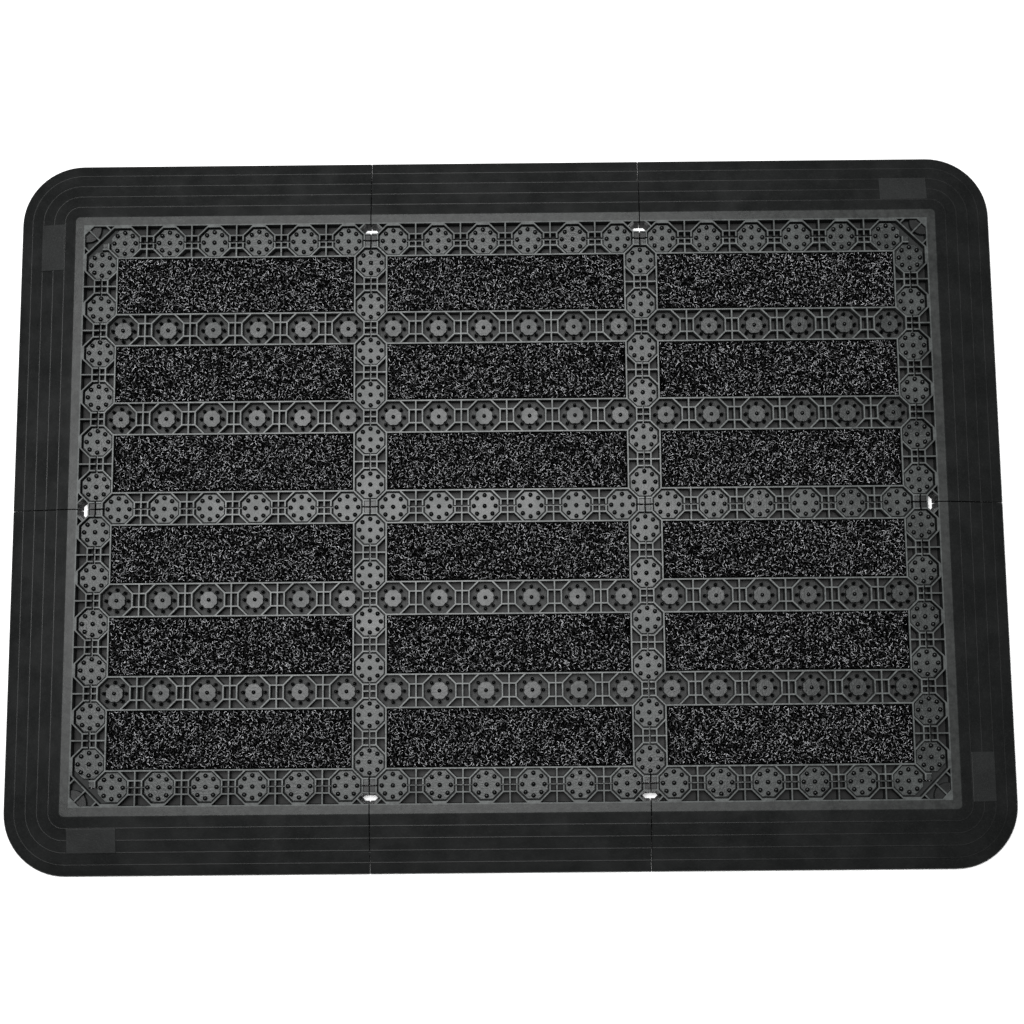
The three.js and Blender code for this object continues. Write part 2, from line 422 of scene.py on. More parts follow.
class Finish(Enum):
    """The finishes on the mat, each built once."""

    # Each finish's recess colour is a painted shade for its recesses.
    FRAME = MouldedRubber("moulded_rubber_tile", body="171919", scuffed="2A2D2D", dust="626665",
                          roughness=0.33, recess_shade="0A0B0B", specular=0.23)
    RAMP = MouldedRubber("moulded_rubber_ramp", body="111212", scuffed="191A1A", dust="3C3E3D",
                         roughness=0.33, scuff_from=0.0137, scuff_to=0.01402, scuff_share=0.6, specular=0.18,
                         recess_shade="141616", film="3C3E3D", film_share=0.22,
                         field_half=(0.3921, 0.2671), dent_height=0.00003, field_dust="666A69")
    LABEL = MouldedRubber("spark_textured_rubber_plate", body="1A1B1B", scuffed="202222", dust="1A1B1B",
                          roughness=0.5, specular=0.19, grain_height=0.00012, film="3C3E3D",
                          film_share=0.35, field_half=(0.0, 0.0))
    PAD = MouldedRubber("moulded_rubber_connector", body="1E2020", scuffed="484C4B", dust="1A1C1C",
                        roughness=0.32, recess_shade="080909", scuff_from=0.0100, scuff_to=0.0109,
                        scuff_share=0.2, film_share=0.45, specular=0.22)
    STUD = MouldedRubber("polished_rubber_stud", body="030404", scuffed="070808", dust="070808",
                         roughness=0.24, grain_height=0.00002, specular=0.13, recess_shade="030404",
                         film_share=0.03)
    PILE = CurlPile()
    BACKING = CarpetBacking()
    FLOOR = PaperFloor()

    def material(self) -> Material:
        """The finish's material, made on first use."""
        return bpy.data.materials.get(self.value.name) or self.value.build()


# ---- Mesh helpers ----------------------------------------------------------


def everything(solid: BMesh) -> list:
    """A shape's points, edges and faces."""
    return solid.verts[:] + solid.edges[:] + solid.faces[:]


def made_of(kind: type, made: dict) -> list:
    """What an operator made, of one kind."""
    return [part for part in made["geom"] if isinstance(part, kind)]


def capped_circle(solid: BMesh, sides: int, radius: float, place: Matrix) -> BMFace:
    """Adds a flat face with equal sides, and returns it."""
    made = bmesh.ops.create_circle(solid, cap_ends=True, segments=sides, radius=radius, matrix=place)
    return made["verts"][0].link_faces[0]


def closed_mesh(name: str, solid: BMesh, finish_number: int = 0) -> Mesh:
    """Welds a closed shape's doubles, turns its faces outwards and moves it into a mesh.

    Args:
        name: The mesh's name.
        solid: The shape, in millimetres, which is freed.
        finish_number: Which of its piece's finishes it gets.

    Returns:
        The mesh.
    """
    bmesh.ops.remove_doubles(solid, verts=solid.verts, dist=WELD)
    bmesh.ops.dissolve_degenerate(solid, edges=solid.edges, dist=WELD / 10)
    bmesh.ops.recalc_face_normals(solid, faces=solid.faces)
    for face in solid.faces:
        face.material_index = finish_number
    mesh = bpy.data.meshes.new(name)
    solid.to_mesh(mesh)
    solid.free()
    return mesh


def as_arrays(solid: BMesh) -> tuple[np.ndarray, np.ndarray]:
    """Turns a shape into arrays.

    Args:
        solid: The shape, which is freed.

    Returns:
        Its points, and its triangles as points' numbers.
    """
    bmesh.ops.triangulate(solid, faces=solid.faces[:])
    solid.verts.index_update()
    points = np.array([v.co[:] for v in solid.verts])
    triangles = np.array([[v.index for v in f.verts] for f in solid.faces])
    solid.free()
    return points, triangles


def into_scene(name: str, data: Mesh | Camera | Light) -> Object:
    """Puts a new object in the scene.

    Args:
        name: The object's name.
        data: What it shows.

    Returns:
        The object.
    """
    made = bpy.data.objects.new(name, data)
    bpy.context.scene.collection.objects.link(made)
    return made


def finished_piece(name: str, solid: BMesh, place: Matrix, finishes: list[Finish],
                   smooth_angle: float = 30.0) -> Object:
    """Makes an object at the origin from a shape in millimetres.

    Args:
        name: The piece's name.
        solid: The shape, which stays usable.
        place: Where it goes, in millimetres.
        finishes: Its materials, by the faces' material number.
        smooth_angle: Edges sharper than this, in degrees, stay sharp.

    Returns:
        The object, in the scene.
    """
    mesh = bpy.data.meshes.new(name)
    solid.to_mesh(mesh)
    mesh.transform(Matrix.Scale(MM, 4) @ place)
    for finish in finishes:
        mesh.materials.append(finish.material())
    mesh.shade_smooth()
    mesh.set_sharp_from_angle(angle=math.radians(smooth_angle))
    return into_scene(name, mesh)


def stamp(solid: BMesh, shape: Mesh, places: list[Matrix]) -> None:
    """Adds a closed shape to a solid at each place.

    Args:
        solid: What it is added to.
        shape: The repeated shape, in millimetres.
        places: Where each copy goes.
    """
    repeated = bmesh.new()
    repeated.from_mesh(shape)
    for place in places:
        repeated.transform(place)
        copy = bpy.data.meshes.new("copy")
        repeated.to_mesh(copy)
        solid.from_mesh(copy)
        bpy.data.meshes.remove(copy)
        repeated.transform(place.inverted())
    repeated.free()


def prism(solid: BMesh, outline: BMFace, height: float, arris: float) -> None:
    """Raises a flat face into a closed prism with a chamfered top.

    Args:
        solid: The mesh that the face is in.
        outline: The face, whose edges are open.
        height: The prism's height.
        arris: Size of the chamfer.
    """
    side = height - arris
    top = made_of(BMFace, bmesh.ops.extrude_face_region(solid, geom=[outline]))
    bmesh.ops.translate(solid, verts=top[0].verts[:], vec=(0, 0, side))
    top[0].normal_update()
    rise = arris if top[0].normal.z > 0 else -arris
    bmesh.ops.inset_individual(solid, faces=top, thickness=arris, depth=rise, use_even_offset=True)


def slab(solid: BMesh, x: tuple[float, float], y: tuple[float, float], z: tuple[float, float]) -> None:
    """Adds a plain hidden block between two corners.

    Args:
        solid: What it is added to.
        x: From and to along X.
        y: From and to along Y.
        z: From and to along Z.
    """
    middle = Vector([sum(pair) / 2 for pair in (x, y, z)])
    size = [pair[1] - pair[0] for pair in (x, y, z)]
    bmesh.ops.create_cube(solid, size=1.0, matrix=Matrix.Translation(middle) @ Matrix.Diagonal((*size, 1)))


@dataclass(frozen=True)
class PegHole:
    """A square hole in a socket's floor, for the peg under a pad, in millimetres."""

    size: float = 6.0
    bottom: float = 3.5
    from_seam: float = 8.0

    def floor_faces(self, solid: BMesh, x: float, y: float, floor: float) -> list[BMFace]:
        """Finds the level faces over a point.

        Args:
            solid: The moulding.
            x: The point.
            y: The point.
            floor: The faces' height.

        Returns:
            The faces, which is one where the floor is whole.
        """
        found = []
        for face in solid.faces:
            if face.normal.z > 0.99 and abs(face.verts[0].co.z - floor) < WELD:
                across = [v.co.x for v in face.verts]
                along = [v.co.y for v in face.verts]
                if min(across) < x < max(across) and min(along) < y < max(along):
                    found.append(face)
        return found

    def sink(self, solid: BMesh, x: float, y: float, floor: float) -> None:
        """Sinks the hole. The face over it stays where it was, as a lid.

        Args:
            solid: The moulding.
            x: The hole's middle.
            y: The hole's middle.
            floor: Height of the floor it goes in.
        """
        solid.normal_update()
        half = self.size / 2
        for axis, at in ((0, x - half), (0, x + half), (1, y - half), (1, y + half)):
            level = self.floor_faces(solid, x, y, floor)
            edges = {e for face in level for e in face.edges}
            corners = {v for face in level for v in face.verts}
            point, facing = Vector((0, 0, floor)), Vector((0, 0, 0))
            point[axis], facing[axis] = at, 1
            bmesh.ops.bisect_plane(solid, geom=[*level, *edges, *corners], dist=PLANE,
                                   plane_co=point, plane_no=facing)
        mouth = self.floor_faces(solid, x, y, floor)
        lowered = made_of(BMVert, bmesh.ops.extrude_face_region(solid, geom=mouth))
        bmesh.ops.translate(solid, verts=lowered, vec=(0, 0, self.bottom - floor))


@dataclass(frozen=True)
class Stud:
    """A domed rubber pin, in millimetres."""

    diameter: float = 4.3
    height: float = 3.4
    sides: int = 8
    sunk: float = 0.3
    # Share of the radius at each share of the height.
    dome: tuple[tuple[float, float], ...] = ((0.97, 0.45), (0.84, 0.7), (0.55, 0.9), (0.12, 1.0))

    def mesh(self) -> Mesh:
        """Builds the pin standing on the origin, with the face of each step left inside it.

        Returns:
            The mesh.
        """
        radius = self.diameter / 2
        pin = bmesh.new()
        face = capped_circle(pin, self.sides, radius, Matrix.Translation((0, 0, -self.sunk)))
        for share, level in self.dome:
            face = made_of(BMFace, bmesh.ops.extrude_face_region(pin, geom=[face]))[0]
            for corner in face.verts:
                flat = Vector((corner.co.x, corner.co.y)).normalized() * radius * share
                corner.co = (flat.x, flat.y, level * self.height)
        return closed_mesh("stud", pin, 1)

    def places(self, x: float, y: float, z: float, radius: float, centre: bool = True) -> list[Matrix]:
        """Places of a ring of eight pins and the one in the middle.

        Args:
            x: The ring's middle.
            y: The ring's middle.
            z: What the pins stand on.
            radius: The ring's radius.
            centre: Whether there is a pin in the middle.

        Returns:
            One matrix for each pin.
        """
        turns = [Vector((math.cos(i * math.pi / 4), math.sin(i * math.pi / 4), 0)) * radius for i in range(8)]
        if centre:
            turns.append(Vector((0, 0, 0)))
        return [Matrix.Translation(Vector((x, y, z)) + turn) for turn in turns]


class CellNet:
    """A flat net of cells whose shared edges are the middle lines of the ribs between them."""

    def __init__(self, pattern: Pattern) -> None:
        """Starts an empty net.

        Args:
            pattern: The cell pattern, whose rib tops are the net's height.
        """
        self.pattern = pattern
        self.solid = bmesh.new()
        self.floor = self.solid.faces.layers.float.new("floor")

    def cell(self, outline: list[tuple[float, float]], floor: float = 0.0) -> None:
        """Adds a cell with these corners and this floor height, or zero where it is solid to the top."""
        corners = [self.solid.verts.new((x, y, self.pattern.top)) for x, y in outline]
        self.solid.faces.new(corners)[self.floor] = floor

    def octagon(self, x: float, y: float, floor: float) -> None:
        """Adds an octagon cell round this middle, with its floor at this height."""
        place = Matrix.Translation((x, y, self.pattern.top)) @ Matrix.Rotation(math.pi / 8, 4, "Z")
        capped_circle(self.solid, 8, self.pattern.corner_radius, place)[self.floor] = floor

    def meet(self) -> None:
        """Welds the cells, and gives a side a corner wherever a neighbour's corner lies on it."""
        solid = self.solid
        bmesh.ops.remove_doubles(solid, verts=solid.verts, dist=WELD)
        waiting = [e for e in solid.edges if e.is_boundary]
        corners = [v for v in solid.verts if v.is_boundary]
        while waiting:
            edge = waiting.pop()
            start = edge.verts[0].co.copy()
            along = edge.verts[1].co - start
            for corner in corners:
                share = (corner.co - start).dot(along) / along.length_squared
                off = (start + share * along - corner.co).length
                if off < WELD and WELD < share * along.length < along.length - WELD:
                    made, _ = bmesh.utils.edge_split(edge, edge.verts[0], share)
                    waiting += [edge, made]
                    break
        bmesh.ops.remove_doubles(solid, verts=solid.verts, dist=WELD)

    def box_between(self, x: float, y: float, along_x: bool, floor: float) -> None:
        """Adds the square between two octagons of a row, split by a rib across the row.

        Args:
            x: The square's middle.
            y: The square's middle.
            along_x: Whether the row runs along X.
            floor: Height of its floor.
        """
        s = self.pattern.half_side
        for side in (-1, 1):
            corners = [(0, -s), (side * s, -s), (side * s, s), (0, s)]
            self.cell([(x + u, y + v) if along_x else (x + v, y + u) for u, v in corners], floor)

    def wings(self, x: float, y: float, along_x: bool, side: int, floor: float,
              reach: float | None = None) -> None:
        """Adds the two half trapezoids beside a square.

        Args:
            x: The square's middle.
            y: The square's middle.
            along_x: Whether the row runs along X.
            side: Which side of the row they are on, -1 or 1.
            floor: Height of their floor.
            reach: How far from the row's middle they go.
        """
        s = self.pattern.half_side
        far = reach or self.pattern.apothem
        for end in (-1, 1):
            corners = [(0, s), (end * s, s), (end * self.pattern.apothem, self.pattern.apothem)]
            if reach:
                corners.append((end * far, far))
            corners.append((0, far))
            turned = [(u, side * v) for u, v in corners]
            self.cell([(x + u, y + v) if along_x else (x + v, y + u) for u, v in turned], floor)

    def fill_inside(self, inside: float, floor: float) -> None:
        """Fills the net's inner gaps with cells, which are the carpet pockets.

        Args:
            inside: Gaps lie closer than this to both axes.
            floor: Height of their floor.
        """
        rims = [e for e in self.solid.edges
                if e.is_boundary and all(max(abs(v.co.x), abs(v.co.y)) < inside for v in e.verts)]
        for face in bmesh.ops.holes_fill(self.solid, edges=rims, sides=0)["faces"]:
            face[self.floor] = floor

    def raise_ribs(self) -> None:
        """Sinks every cell's floor, which leaves ribs with a fine arris and a little draft."""
        solid, pattern = self.solid, self.pattern
        bmesh.ops.remove_doubles(solid, verts=solid.verts, dist=WELD)
        for face in solid.faces:
            face.normal_update()
            if face.normal.z < 0:
                face.normal_flip()
        cells = [f for f in solid.faces if f[self.floor] > 0]
        floors = {f: f[self.floor] for f in cells}
        even = {"use_even_offset": True, "use_interpolate": False}
        bmesh.ops.inset_individual(solid, faces=cells, thickness=pattern.rib / 2 - pattern.arris, **even)
        bmesh.ops.inset_individual(solid, faces=cells, thickness=pattern.arris, depth=-pattern.arris, **even)
        for floor in sorted(set(floors.values())):
            group = [f for f in cells if floors[f] == floor]
            depth = floor - pattern.top + pattern.arris
            draft = pattern.draft if floor > pattern.foot else pattern.drain_draft
            bmesh.ops.inset_individual(solid, faces=group, thickness=draft, depth=depth, **even)

    def cut(self, x: float, y: float, outwards: tuple[float, float]) -> None:
        """Cuts away what lies outwards of the vertical plane through a point."""
        bmesh.ops.bisect_plane(self.solid, geom=everything(self.solid), dist=PLANE, plane_co=(x, y, 0),
                               plane_no=(*outwards, 0), clear_outer=True)

    def close_below(self) -> None:
        """Runs the open rim down to the floor and closes the underside."""
        solid = self.solid
        rim = [e for e in solid.edges if e.is_boundary and max(v.co.z for v in e.verts) > WELD]
        for corner in made_of(BMVert, bmesh.ops.extrude_edge_only(solid, edges=rim)):
            corner.co.z = 0
        bmesh.ops.remove_doubles(solid, verts=solid.verts, dist=WELD / 4)
        bmesh.ops.dissolve_degenerate(solid, edges=solid.edges, dist=WELD / 10)
        under = [e for e in solid.edges if e.is_boundary]
        bmesh.ops.holes_fill(solid, edges=under, sides=0)
        bmesh.ops.recalc_face_normals(solid, faces=solid.faces)


# ---- Tiles -----------------------------------------------------------------


@dataclass
class TileFrame:
    """One square tile: a waffle of ribs round three carpet pockets."""

    pattern: Pattern = PATTERN
    hole: PegHole = PegHole()
    stud: Stud = field(default_factory=lambda: Stud(diameter=3.5, height=7.2))
    centre_stud: Stud = field(default_factory=lambda: Stud(diameter=3.8, height=3.1))
    ring_radius: float = 9.9
    plate_radius: float = 8.1
    plate_scallop: float = 0.8
    plate_top: float = 10.8
    plate_arris: float = 0.25

    def net(self) -> CellNet:
        """Lays out the tile's cells, which run a little past its sides.

        Returns:
            The net.
        """
        p = self.pattern
        net = CellNet(p)
        half = p.tile / 2
        between = [x + p.pitch / 2 for x in p.places()[:-1]]
        inner_rows = [(k - (p.pockets - 2) / 2) * p.row for k in range(p.pockets - 1)]
        for side in (-1, 1):
            for place in p.places():
                net.octagon(place, side * half, p.socket_floor)
                net.octagon(side * half, place, p.socket_floor)
            for place in between:
                net.box_between(place, side * half, True, p.box_floor)
                net.wings(place, side * half, True, -side, p.box_floor)
                net.box_between(side * half, place, False, p.box_floor)
                if min(abs(place - y) for y in inner_rows) > 1:
                    net.wings(side * half, place, False, -side, p.box_floor)
        for y in inner_rows:
            for place in p.places():
                net.octagon(place, y, p.cell_floor)
            for place in between:
                net.box_between(place, y, True, p.box_floor)
                net.wings(place, y, True, -1, p.box_floor)
                net.wings(place, y, True, 1, p.box_floor)
        s = p.half_side
        for x in (-half, half):
            for y in (-half, half):
                net.cell([(x - s, y - s), (x + s, y - s), (x + s, y + s), (x - s, y + s)], p.boss_top)
        net.meet()
        net.fill_inside(half - p.apothem + 1, p.pocket_floor)
        return net

    def scalloped_plate(self) -> Mesh:
        """Builds the plate in an inner octagon, which gives way to the pins round it.

        Returns:
            A closed mesh.
        """
        plate = bmesh.new()
        place = Matrix.Translation((0, 0, self.pattern.cell_floor - SUNK))
        outline = capped_circle(plate, ROUND_SIDES, 1.0, place)
        for corner in outline.verts:
            angle = math.atan2(corner.co.y, corner.co.x)
            dip = abs(math.sin(4 * angle))
            radius = self.plate_radius - self.plate_scallop * (1 - dip)
            corner.co.x, corner.co.y = radius * math.cos(angle), radius * math.sin(angle)
        prism(plate, outline, self.plate_top - self.pattern.cell_floor + SUNK, self.plate_arris)
        return closed_mesh("plate", plate)

    def solid(self) -> BMesh:
        """Builds the tile round the origin.

        Returns:
            A closed shape in millimetres.
        """
        p = self.pattern
        net = self.net()
        net.raise_ribs()
        side = (p.tile - p.seam) / 2
        for outwards in ((1, 0), (-1, 0), (0, 1), (0, -1)):
            net.cut(outwards[0] * side, outwards[1] * side, outwards)
        net.close_below()
        end, near = p.places()[-1], p.tile / 2 - self.hole.from_seam
        for first in (-1, 1):
            for second in (-1, 1):
                self.hole.sink(net.solid, first * end, second * near, p.socket_floor)
                self.hole.sink(net.solid, first * near, second * end, p.socket_floor)
        # The foot reaches into the seams at the floor: dark rubber that stands in for the shade down in the
        # seams, a painted shade.
        foot = p.tile / 2 - p.foot_gap
        slab(net.solid, (-foot, foot), (-foot, foot), (0, p.foot))
        rows = [-p.row / 2, p.row / 2]
        middles = [(x, y) for x in p.places() for y in rows]
        stamp(net.solid, self.scalloped_plate(), [Matrix.Translation((x, y, 0)) for x, y in middles])
        ring, centre = self.stud.mesh(), self.centre_stud.mesh()
        for x, y in middles:
            stamp(net.solid, ring, self.stud.places(x, y, p.cell_floor, self.ring_radius, centre=False))
            stamp(net.solid, centre, [Matrix.Translation((x, y, self.plate_top))])
        return net.solid

    def build(self, nodes: list[str]) -> None:
        """Builds every tile and puts it on its node.

        Args:
            nodes: The tile frames' node names.
        """
        solid = self.solid()
        for node in nodes:
            low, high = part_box(node)
            middle = (low + high) / 2 / MM
            piece = finished_piece(f"{node}_rubber", solid, Matrix.Translation((middle.x, middle.y, 0)),
                                   [Finish.FRAME, Finish.STUD])
            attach(piece, "mat_base")
            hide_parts(node)
            LOG.info("%s: %d faces", piece.name, len(piece.data.polygons))
        solid.free()


# ---- Edge ramps ------------------------------------------------------------


@dataclass
class EdgeRamp:
    """The sloping ramp: half sockets along the seam, a flat border, and five lapped bands.

    Distances named without a direction are out from the seam.
    """

    pattern: Pattern = PATTERN
    hole: PegHole = PegHole()
    edge: float = 78.0
    field_edge: float = 16.6
    slope_from: float = 21.0
    border: float = 25.0
    band: float = 10.8
    bands: int = 5
    step: float = 0.6
    rim: float = 3.0
    lip: float = 0.95
    arris: float = 0.3
    notch_wide: float = 11.0
    notch_far: float = 5.4
    label_from: float = -19.0
    label_to: float = 25.0
    label_raise: float = 0.45
    step_lean: float = 0.08
    step_hollow: float = 0.1
    # How far back from the outer edge, and how far above the rim.
    nose: tuple[tuple[float, float], ...] = ((3.0, 0.45), (1.0, -0.1), (0.3, -0.8), (0.0, -1.7))
    foot_past: float = 0.3
    foot_back: float = 0.4
    foot_in: float = 0.5
    label_foot: float = 1.0
    label_bevel: float = 0.4
    disc_clearance: float = 0.2
    rib_clearance: float = 0.4
    corner_far: float = 12.0
    corner_near: float = 8.0
    corner_tip: float = 2.0
    corner_shoulder: float = 20.0
    split_rib: float = 4.0
    split_foot: float = 3.4
    joint_gap: float = 1.0
    disc_middle: float = -14.0
    disc_radius: float = 12.3
    disc_top: float = 10.5
    turn_steps: int = 8
    smooth_angle: float = 7.0
    corner_cut: float = -12.4
    border_from: float = 12.0

    def profile(self) -> list[tuple[float, float]]:
        """Heights of the slope, from inside the flat border to the floor.

        Returns:
            Distance from the seam and height, outwards.
        """
        top = self.pattern.top
        fall = (top - self.rim - (self.bands - 1) * self.step) / (self.edge - self.border)
        points = [(self.slope_from, top), (self.border - self.arris, top),
                  (self.border, top - self.arris / 2)]
        for i in range(1, self.bands):
            at = self.border + i * self.band
            level = top - (i * self.step + fall * i * self.band)
            lip = level + self.step
            points += [(at - self.lip, lip), (at - self.arris, lip), (at, lip - self.arris / 2),
                       (at + self.step_lean, level), (at + 2 * self.arris, level - self.step_hollow)]
        points += [(self.edge - back, self.rim + rise) for back, rise in self.nose]
        return points + [(self.edge, 0.0)]

    def profile_line(self, net: CellNet, x: float) -> list:
        """Adds the slope's profile to a net at X, with outwards as -Y, and returns its edges."""
        corners = [net.solid.verts.new((x, -out, height)) for out, height in self.profile()]
        return [net.solid.edges.new(pair) for pair in zip(corners, corners[1:])]

    @staticmethod
    def run_along(net: CellNet, line: list, distance: float) -> list:
        """Extrudes a line of edges along X.

        Args:
            net: The net that it is in.
            line: The edges.
            distance: How far.

        Returns:
            The edges at the far end.
        """
        made = bmesh.ops.extrude_edge_only(net.solid, edges=line)
        moved = made_of(BMVert, made)
        bmesh.ops.translate(net.solid, verts=moved, vec=(distance, 0, 0))
        return [edge for edge in made_of(BMEdge, made) if set(edge.verts) <= set(moved)]

    def row_cells(self, net: CellNet, places: list[float], skip_first: bool) -> None:
        """Lays the row of half sockets and the cells beside them.

        Args:
            net: The net.
            places: The octagons' places along X.
            skip_first: Whether the first octagon is left to the corner.
        """
        p = self.pattern
        reach = self.field_edge
        tip = p.pitch / 2 - reach
        for place in places[1:] if skip_first else places:
            net.octagon(place, 0, p.socket_floor)
            net.cell([(place - p.half_side, -p.apothem), (place + p.half_side, -p.apothem),
                      (place + tip, -reach), (place - tip, -reach)])
        for place in places[:-1]:
            net.box_between(place + p.pitch / 2, 0, True, p.box_floor)
            net.wings(place + p.pitch / 2, 0, True, -1, p.box_floor, reach)

    def ramp_joint(self, net: CellNet, x: float) -> None:
        """Adds the pattern where two ramps meet: a boss, an open drain and two small cells.

        Args:
            net: The net.
            x: Where the ramps meet.
        """
        p = self.pattern
        s, wide, far, reach = p.half_side, self.notch_wide, self.notch_far, self.field_edge
        net.cell([(x - s, -s), (x + s, -s), (x + s, s), (x - s, s)], p.boss_top)
        drain = [(x - s, -s), (x - wide, -wide), (x - far, -reach),
                 (x + far, -reach), (x + wide, -wide), (x + s, -s)]
        net.cell(drain, WELD / 10)
        for side in (-1, 1):
            a = p.apothem
            net.cell([(x + side * wide, -wide), (x + side * a, -a), (x + side * reach, -reach),
                      (x + side * far, -reach)], p.box_floor)

    def close_border(self, net: CellNet, ends: list[list[tuple[float, float]]]) -> None:
        """Fills the flat border between the cells and the slope.

        Args:
            net: The net, with its cells and its slope.
            ends: Lines that join the last cell to the slope at either end.
        """
        solid, top = net.solid, self.pattern.top
        net.meet()
        for line in ends:
            corners = [solid.verts.new((x, y, top)) for x, y in line]
            for pair in zip(corners, corners[1:]):
                solid.edges.new(pair)
        bmesh.ops.remove_doubles(solid, verts=solid.verts, dist=WELD)
        within = -self.border_from
        flat = [e for e in solid.edges if (e.is_boundary or e.is_wire)
                and all(v.co.y < within and abs(v.co.z - top) < WELD for v in e.verts)]
        bmesh.ops.triangle_fill(solid, edges=self.closed_loop(flat), use_beauty=True)

    def closed_loop(self, edges: list) -> list:
        """Drops the edges with an open end until only closed loops are left.

        Args:
            edges: Edges of the border's outline and some strays.

        Returns:
            The outline.
        """
        kept = set(edges)
        while True:
            stray = [e for e in kept if any(sum(n in kept for n in v.link_edges) < 2 for v in e.verts)]
            if not stray:
                return list(kept)
            kept -= set(stray)

    def cut_joint_end(self, net: CellNet, x: float, outwards: int) -> None:
        """Cuts a ramp's end where it meets the next ramp."""
        net.cut(x - outwards * self.joint_gap / 2, 0, (outwards, 0))

    def open_drains(self, net: CellNet) -> None:
        """Deletes the floors of the open drains.

        Args:
            net: The ramp's net, with its ribs raised.
        """
        floors = [f for f in net.solid.faces if all(abs(v.co.z) < 2 * WELD for v in f.verts)]
        bmesh.ops.delete(net.solid, geom=floors, context="FACES")
        for corner in net.solid.verts:
            if abs(corner.co.z) < 2 * WELD:
                corner.co.z = 0.0

    def straight(self) -> BMesh:
        """Builds the straight ramp, with its seam on Y = 0 and outwards as -Y.

        Returns:
            A closed shape in millimetres.
        """
        p = self.pattern
        net = CellNet(p)
        half, past = p.tile / 2, p.tile / 2 + self.notch_far
        self.row_cells(net, p.places(), False)
        self.ramp_joint(net, -half)
        self.ramp_joint(net, half)
        self.run_along(net, self.profile_line(net, -past), 2 * past)
        out, back = -self.slope_from, -self.field_edge
        self.close_border(net, [[(x, back), (x, out)] for x in (-past, past)])
        net.raise_ribs()
        self.open_drains(net)
        net.cut(0, -p.seam / 2, (0, 1))
        self.cut_joint_end(net, half, 1)
        self.cut_joint_end(net, -half, -1)
        net.close_below()
        self.add_feet(net.solid, -half + p.foot_gap, half - p.foot_gap)
        return net.solid

    def corner_half(self) -> CellNet:
        """Builds the half of the corner ramp below the diagonal, still open along it.

        Returns:
            The half net, with the tile corner at the origin.
        """
        p = self.pattern
        net = CellNet(p)
        reach, end = self.field_edge, p.tile
        past = end + self.notch_far
        places = [(i + 0.5) * p.pitch for i in range(p.cells)]
        self.row_cells(net, places, True)
        self.ramp_joint(net, end)
        a, s = p.apothem, p.half_side
        first, cut = places[0], self.corner_cut
        # The corner's own cells: a wide socket, a split cell outside a slanting rib, and a small one.
        slant = [(-self.corner_tip, -self.corner_tip), (self.corner_near, -self.corner_far)]
        on_rib, off_rib = (a - self.split_rib, -a), (reach - self.split_rib, -reach)
        foot = (self.split_foot, -reach)
        net.cell([(-self.corner_far, self.corner_near), *slant, on_rib, (first + s, -a), (first + a, -s),
                  (first + a, s), (self.corner_shoulder, self.corner_far)], p.socket_floor)
        net.cell([*slant, foot, (2 * cut + reach, -reach), (cut, cut)], p.cell_floor)
        net.cell([slant[1], on_rib, off_rib, foot], p.box_floor)
        net.cell([on_rib, off_rib, (p.pitch - reach, -reach), (first + s, -a)])
        line = self.run_along(net, self.profile_line(net, past), -past - self.slope_from)
        bmesh.ops.spin(net.solid, geom=line, cent=(-self.slope_from, -self.slope_from, 0), axis=(0, 0, 1),
                       angle=-math.pi / 4, steps=self.turn_steps)
        self.close_border(net, [[(past, -reach), (past, -self.slope_from)],
                                [(cut, cut), (-self.slope_from, -self.slope_from)]])
        net.raise_ribs()
        self.open_drains(net)
        net.cut(0, -p.seam / 2, (0, 1))
        self.cut_joint_end(net, end, 1)
        net.cut(0, 0, (-1, 1))
        return net

    def corner(self) -> BMesh:
        """Builds the corner ramp, with the tile corner at the origin and arms along +X and +Y.

        Returns:
            A closed shape in millimetres.
        """
        net = self.corner_half()
        solid = net.solid
        copy = bmesh.ops.duplicate(solid, geom=everything(solid))
        swap = Matrix(((0, 1, 0, 0), (1, 0, 0, 0), (0, 0, 1, 0), (0, 0, 0, 1)))
        bmesh.ops.transform(solid, matrix=swap, verts=made_of(BMVert, copy))
        bmesh.ops.reverse_faces(solid, faces=made_of(BMFace, copy))
        bmesh.ops.remove_doubles(solid, verts=solid.verts, dist=WELD)
        net.close_below()
        self.add_disc(solid)
        self.add_label_plate(solid)
        # Each arm lies along X while it gets its feet, and the second swap puts both back.
        for _ in range(2):
            self.add_feet(solid, 0, self.pattern.tile - self.pattern.foot_gap)
            bmesh.ops.transform(solid, matrix=swap, verts=solid.verts)
            bmesh.ops.reverse_faces(solid, faces=solid.faces)
        return solid

    def add_feet(self, solid: BMesh, start: float, end: float) -> None:
        """Adds the thin feet that close the seam and the ramp joints at the floor, clear of the drains. They
        are dark rubber that stands in for the shade down in these slots, a painted shade.

        Args:
            solid: The ramp, with its arm along X.
            start: Where the arm starts.
            end: Where it ends.
        """
        p = self.pattern
        for outer, inner in ((p.half_side + self.foot_past, p.foot_gap),
                             (self.edge - self.foot_back, self.field_edge + self.foot_in)):
            slab(solid, (start, end), (-outer, -inner), (0, p.foot))

    def add_disc(self, solid: BMesh) -> None:
        """Adds the low round plateau in the corner's split cell.

        Args:
            solid: The corner ramp.
        """
        p = self.pattern
        disc = bmesh.new()
        low = p.cell_floor - SUNK
        capped_circle(disc, ROUND_SIDES, self.disc_radius,
                      Matrix.Translation((self.disc_middle, self.disc_middle, low)))
        wall = -self.field_edge + p.rib / 2 - self.disc_clearance
        split = self.corner_cut + self.rib_clearance
        for outwards, at in (((-1, 0, 0), (wall, 0, 0)), ((0, -1, 0), (0, wall, 0)),
                             ((-1, -1, 0), (split, split, 0))):
            bmesh.ops.bisect_plane(disc, geom=everything(disc), dist=PLANE, plane_co=at, plane_no=outwards,
                                   clear_outer=True)
        prism(disc, disc.faces[:][0], self.disc_top - low, self.arris)
        solid.from_mesh(closed_mesh("disc", disc))

